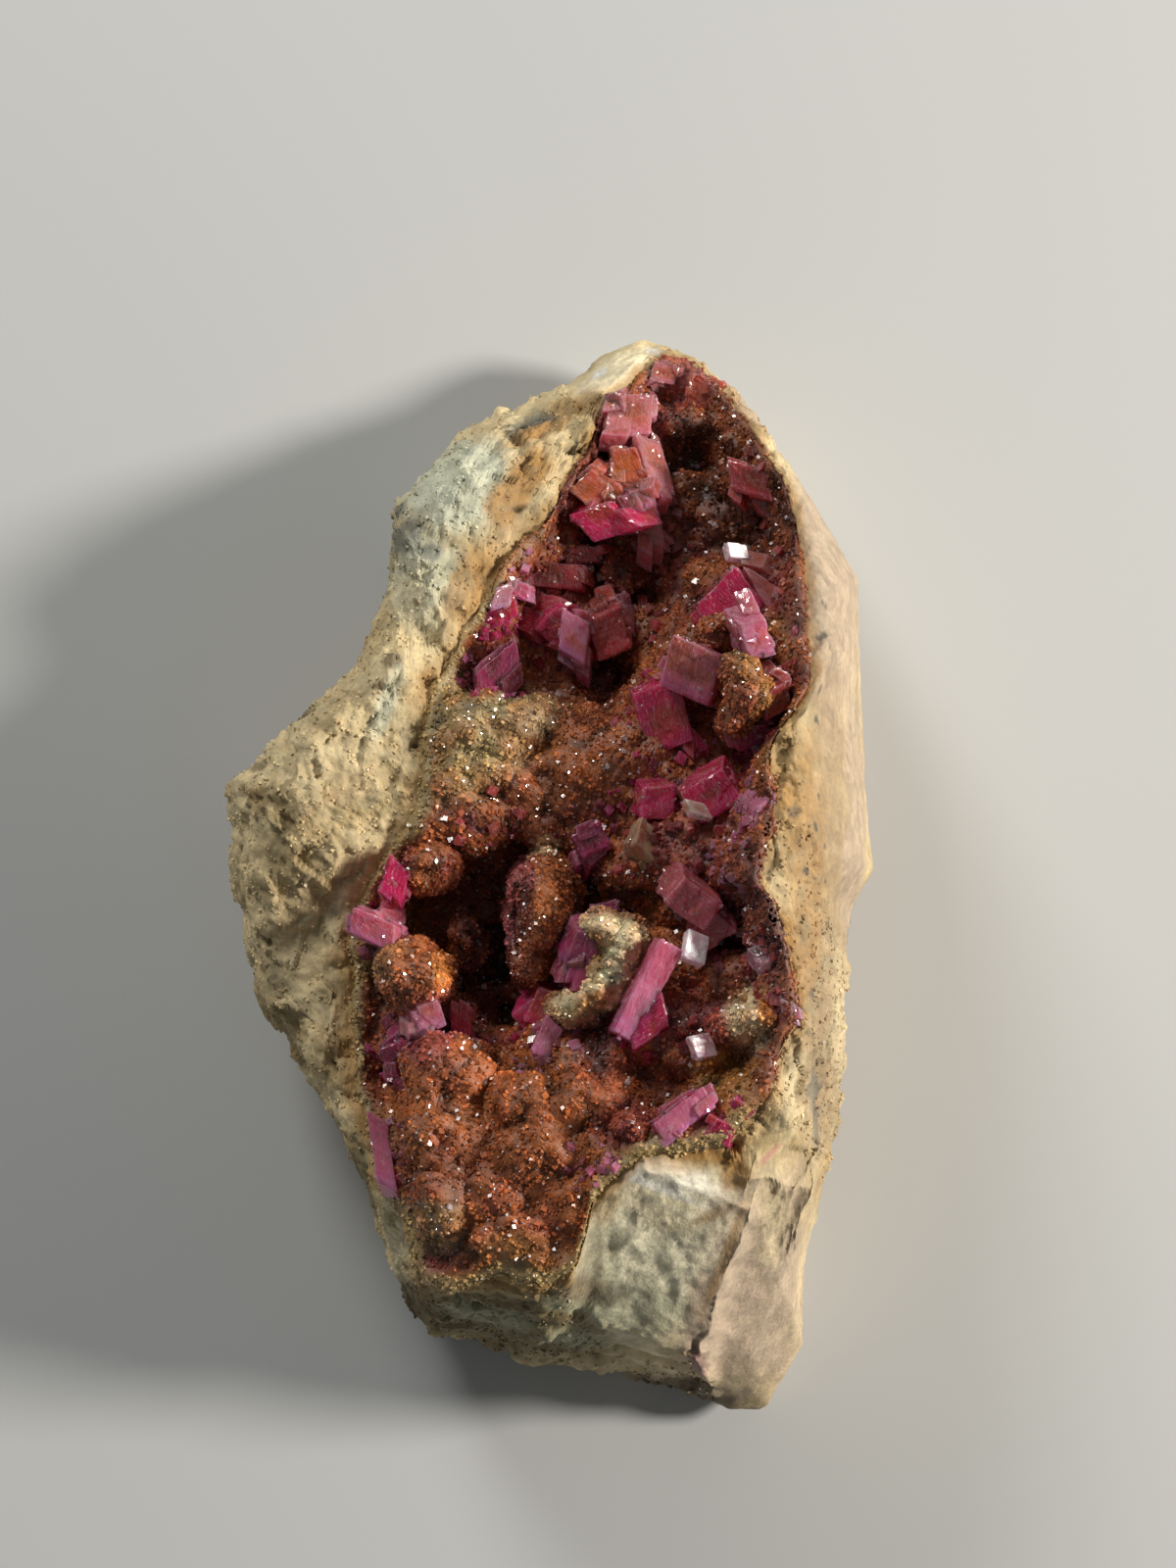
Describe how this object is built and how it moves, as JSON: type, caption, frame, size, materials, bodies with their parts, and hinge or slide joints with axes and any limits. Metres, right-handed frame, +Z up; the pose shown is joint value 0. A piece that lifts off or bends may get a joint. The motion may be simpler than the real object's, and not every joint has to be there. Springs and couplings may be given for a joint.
{
  "type": "mineral specimen",
  "caption": "Hand-sized piece of dolomite rock with an open hollow lined with brown druse and pink cobaltoan dolomite rhombs.",
  "frame": {"origin": "middle of the flat underside the specimen rests on", "axes": "+Z up, out of the hollow; +Y along the specimen towards its narrow tip; +X across it towards the high right wall of the hollow"},
  "size_m": [0.0615, 0.104, 0.038],
  "materials": {
    "rock": "granular, matt, cream to ochre",
    "crystal": "glossy, part clear crystal, brown to magenta"
  },
  "bodies": {
    "root": {"matrix_rock": "rock", "crystal_crust": "crystal"}
  },
  "joints": []
}
